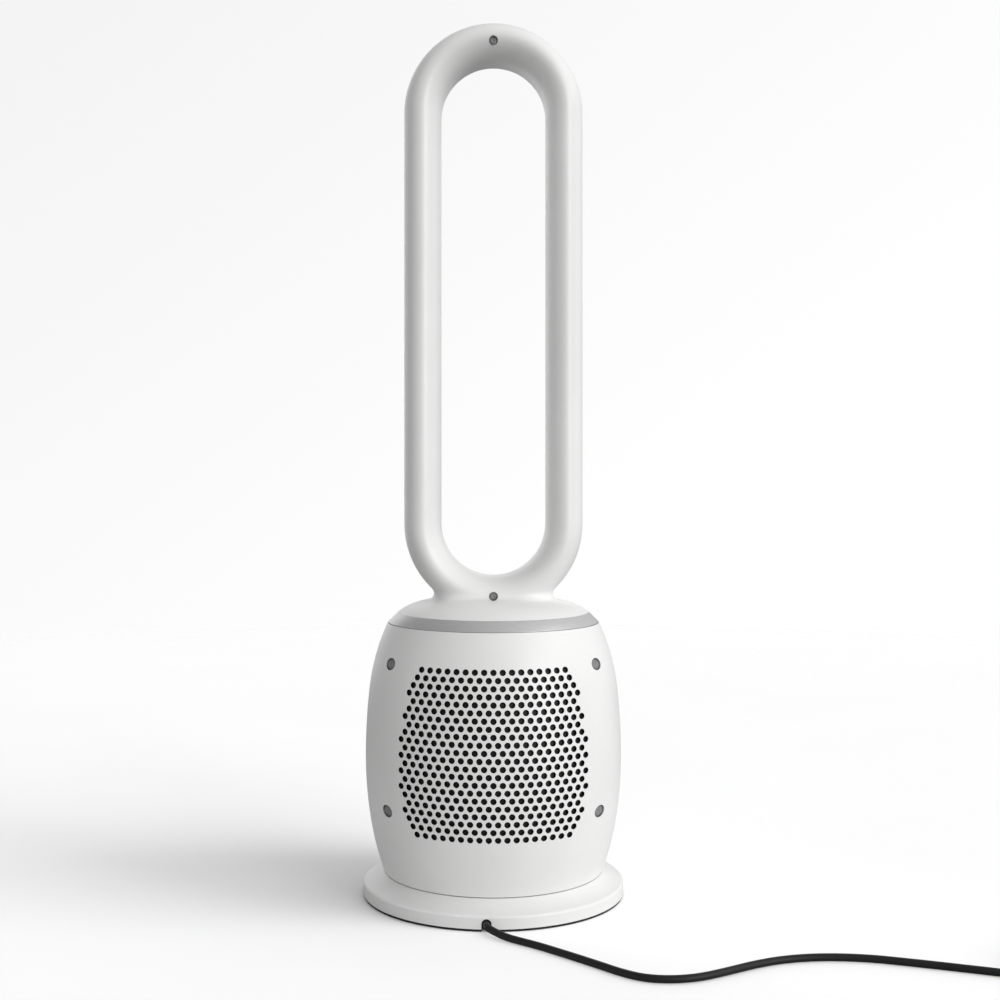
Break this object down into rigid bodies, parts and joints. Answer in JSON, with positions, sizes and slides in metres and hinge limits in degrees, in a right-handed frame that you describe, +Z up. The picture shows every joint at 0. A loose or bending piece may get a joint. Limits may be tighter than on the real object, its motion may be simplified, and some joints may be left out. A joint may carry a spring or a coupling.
{
  "type": "bladeless tower fan",
  "caption": "Bladeless tower fan: upright racetrack air loop on a barrel body with a perforated rear intake, front touch keys, a swinging base and a mains lead with its plug.",
  "frame": {"origin": "middle of the round base, on the floor", "axes": "+Z up, the air loop blows towards -Y, the intake grille and the mains lead are at +Y"},
  "size_m": [0.673, 0.4246, 0.802],
  "materials": {
    "shell_white": "satin moulded plastic",
    "base_white": "satin moulded plastic",
    "trim_grey": "satin metallic-look plastic",
    "plug_grey": "matt",
    "dark_plastic": "matt",
    "lens_black": "gloss",
    "key_white": "satin",
    "frame_plastic": "matt",
    "gear_plastic": "matt acetal",
    "fan_plastic": "satin",
    "steel": "zinc plated",
    "ballast": "painted",
    "rubber": "matt",
    "cord": "satin",
    "board_green": "lacquered",
    "brass": "plated"
  },
  "bodies": {
    "base": {"foot_ring": "rubber", "base_plate": "frame_plastic", "ballast_plate": "ballast", "pivot_column": "frame_plastic", "base_cover": "base_white", "glide_ring": "gear_plastic", "strain_relief": "cord", "inner_lead": "cord", "lead_connector": "gear_plastic", "cord_clamp": "frame_plastic", "swing_gear": "gear_plastic", "base_screws": "steel", "retaining_washer": "steel", "mains_cord": "cord", "cord_coil": "cord", "cord_tie": "dark_plastic", "plug_lead": "cord", "plug": "cord", "plug_pins": "brass"},
    "tower": {"turntable_floor": "frame_plastic", "swing_motor": "steel", "control_board": "board_green", "right_post": "frame_plastic", "left_post": "frame_plastic", "rear_housing": "shell_white", "housing_screws": "steel", "dust_screen": "dark_plastic", "front_housing": "shell_white", "display_lens": "lens_black", "display_board": "board_green", "board_screws": "steel", "key_switches": "dark_plastic", "display_module": "dark_plastic", "trim_ring": "trim_grey", "top_deck": "frame_plastic", "chassis_screws": "steel", "rubber_mounts": "rubber", "duct_gasket": "rubber", "loop_rear_shell": "shell_white", "loop_front_shell": "shell_white", "loop_screws": "steel", "screw_plugs": "plug_grey", "fan_duct": "dark_plastic", "inlet_bell": "dark_plastic", "diffuser": "dark_plastic", "motor_stator": "steel", "motor_end_plate": "dark_plastic", "motor_cap": "dark_plastic", "motor_bearings": "steel"},
    "rotor": {"impeller": "fan_plastic", "motor_shaft": "steel", "motor_rotor": "steel", "impeller_nut": "brass"},
    "pinion": {"drive_pinion": "gear_plastic", "swing_shaft": "steel"},
    "power_key": {"power_key": "key_white"},
    "speed_key": {"speed_key": "key_white"},
    "swing_key": {"swing_key": "key_white"},
    "timer_key": {"timer_key": "key_white"}
  },
  "joints": [
    {"name": "swing", "type": "hinge", "parent": "base", "child": "tower", "pos_m": [0, 0, 0.0262], "axis": [0, 0, 1], "range_deg": [-40, 40]},
    {"name": "fan_spin", "type": "hinge", "parent": "tower", "child": "rotor", "pos_m": [0, 0, 0.14], "axis": [0, 0, 1], "continuous": true},
    {"name": "pinion_spin", "type": "hinge", "parent": "tower", "child": "pinion", "pos_m": [0.04, 0, 0.0408], "axis": [0, 0, 1], "range_deg": [-130, 130]},
    {"name": "power_press", "type": "slide", "parent": "tower", "child": "power_key", "axis": [0, 1, 0], "range_m": [0, 0.001], "stiffness_N_per_m": 300},
    {"name": "speed_press", "type": "slide", "parent": "tower", "child": "speed_key", "axis": [0, 1, 0], "range_m": [0, 0.001], "stiffness_N_per_m": 300},
    {"name": "swing_press", "type": "slide", "parent": "tower", "child": "swing_key", "axis": [0, 1, 0], "range_m": [0, 0.001], "stiffness_N_per_m": 300},
    {"name": "timer_press", "type": "slide", "parent": "tower", "child": "timer_key", "axis": [0, 1, 0], "range_m": [0, 0.001], "stiffness_N_per_m": 300}
  ],
  "couplings": [
    {"joint": "pinion_spin", "follows": "swing", "ratio": 3}
  ]
}
